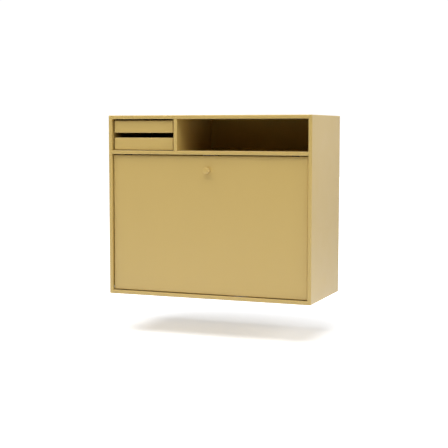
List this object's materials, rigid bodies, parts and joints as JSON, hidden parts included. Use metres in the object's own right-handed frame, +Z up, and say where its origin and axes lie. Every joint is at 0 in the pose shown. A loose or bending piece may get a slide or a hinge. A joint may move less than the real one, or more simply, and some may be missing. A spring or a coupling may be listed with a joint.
{
  "type": "wall writing cabinet",
  "caption": "Wall-hung writing cabinet with a drop-down flap on slotted stays, letter trays beside an open bay, and a hanging rail behind.",
  "frame": {"origin": "centre of the underside, half way between the front edges and the wall", "axes": "+X to the right as seen from the front, -Y out of the front, +Y to the wall, +Z up"},
  "size_m": [0.696, 0.3295, 0.588],
  "materials": {
    "carcass_lacquer": "satin ochre lacquer on fibreboard",
    "front_lacquer": "satin ochre lacquer on fibreboard",
    "inner_lacquer": "satin ochre lacquer on fibreboard",
    "knob_lacquer": "satin ochre lacquer on turned wood",
    "birch": "raw birch",
    "zinc_screws": "zinc plated",
    "steel_fittings": "zinc plated sheet",
    "bright_steel": "bright turned",
    "dark_rubber": "matte",
    "nylon": "moulded, natural white"
  },
  "bodies": {
    "cabinet": {"top_panel": "carcass_lacquer", "bottom_panel": "carcass_lacquer", "left_panel": "carcass_lacquer", "right_panel": "carcass_lacquer", "corner_splines": "birch", "shelf_panel": "carcass_lacquer", "shelf_dowels": "birch", "divider_panel": "carcass_lacquer", "divider_dowels": "birch", "back_panel": "inner_lacquer", "back_screws": "zinc_screws", "cable_grommet": "dark_rubber", "inner_shelf": "inner_lacquer", "shelf_pins": "bright_steel", "hinge_bushes": "nylon", "magnet_housing": "nylon", "magnet": "bright_steel", "magnet_screws": "zinc_screws", "flap_stops": "dark_rubber", "stop_screws": "zinc_screws", "stay_plate_left": "steel_fittings", "stay_plate_right": "steel_fittings", "stay_stud_left": "zinc_screws", "stay_stud_right": "zinc_screws", "stay_plate_screws": "zinc_screws", "runner_upper_left": "nylon", "runner_upper_right": "nylon", "runner_lower_left": "nylon", "runner_lower_right": "nylon", "runner_screws": "zinc_screws", "tray_buffers": "dark_rubber", "wall_rail": "steel_fittings", "hanger_left": "steel_fittings", "hanger_right": "steel_fittings", "hanger_screws": "zinc_screws", "adjusting_screws": "zinc_screws"},
    "flap": {"flap_panel": "front_lacquer", "knob": "knob_lacquer", "knob_screw": "zinc_screws", "hinge_pins": "bright_steel", "strike_plate": "steel_fittings", "strike_screw": "zinc_screws", "flap_bracket_left": "steel_fittings", "flap_bracket_right": "steel_fittings", "bracket_screws": "zinc_screws", "stay_rivets": "zinc_screws"},
    "left_stay": {"stay_arm_left": "steel_fittings"},
    "right_stay": {"stay_arm_right": "steel_fittings"},
    "upper_tray": {"upper_tray_front": "front_lacquer", "upper_tray_left_side": "inner_lacquer", "upper_tray_right_side": "inner_lacquer", "upper_tray_back": "inner_lacquer", "upper_tray_bottom": "inner_lacquer"},
    "lower_tray": {"lower_tray_front": "front_lacquer", "lower_tray_left_side": "inner_lacquer", "lower_tray_right_side": "inner_lacquer", "lower_tray_back": "inner_lacquer", "lower_tray_bottom": "inner_lacquer"}
  },
  "joints": [
    {"name": "flap_hinge", "type": "hinge", "parent": "cabinet", "child": "flap", "pos_m": [0, -0.1455, 0.0205], "axis": [1, 0, 0], "range_deg": [0, 90]},
    {"name": "left_stay_pivot", "type": "hinge", "parent": "flap", "child": "left_stay", "pos_m": [-0.33125, -0.1295, 0.14951], "axis": [1, 0, 0], "range_deg": [-45, 0]},
    {"name": "right_stay_pivot", "type": "hinge", "parent": "flap", "child": "right_stay", "pos_m": [0.33125, -0.1295, 0.14951], "axis": [1, 0, 0], "range_deg": [-45, 0]},
    {"name": "upper_tray_slide", "type": "slide", "parent": "cabinet", "child": "upper_tray", "axis": [0, -1, 0], "range_m": [0, 0.2]},
    {"name": "lower_tray_slide", "type": "slide", "parent": "cabinet", "child": "lower_tray", "axis": [0, -1, 0], "range_m": [0, 0.2]}
  ],
  "couplings": [
    {"joint": "left_stay_pivot", "follows": "flap_hinge", "ratio": -0.5},
    {"joint": "right_stay_pivot", "follows": "flap_hinge", "ratio": -0.5}
  ]
}
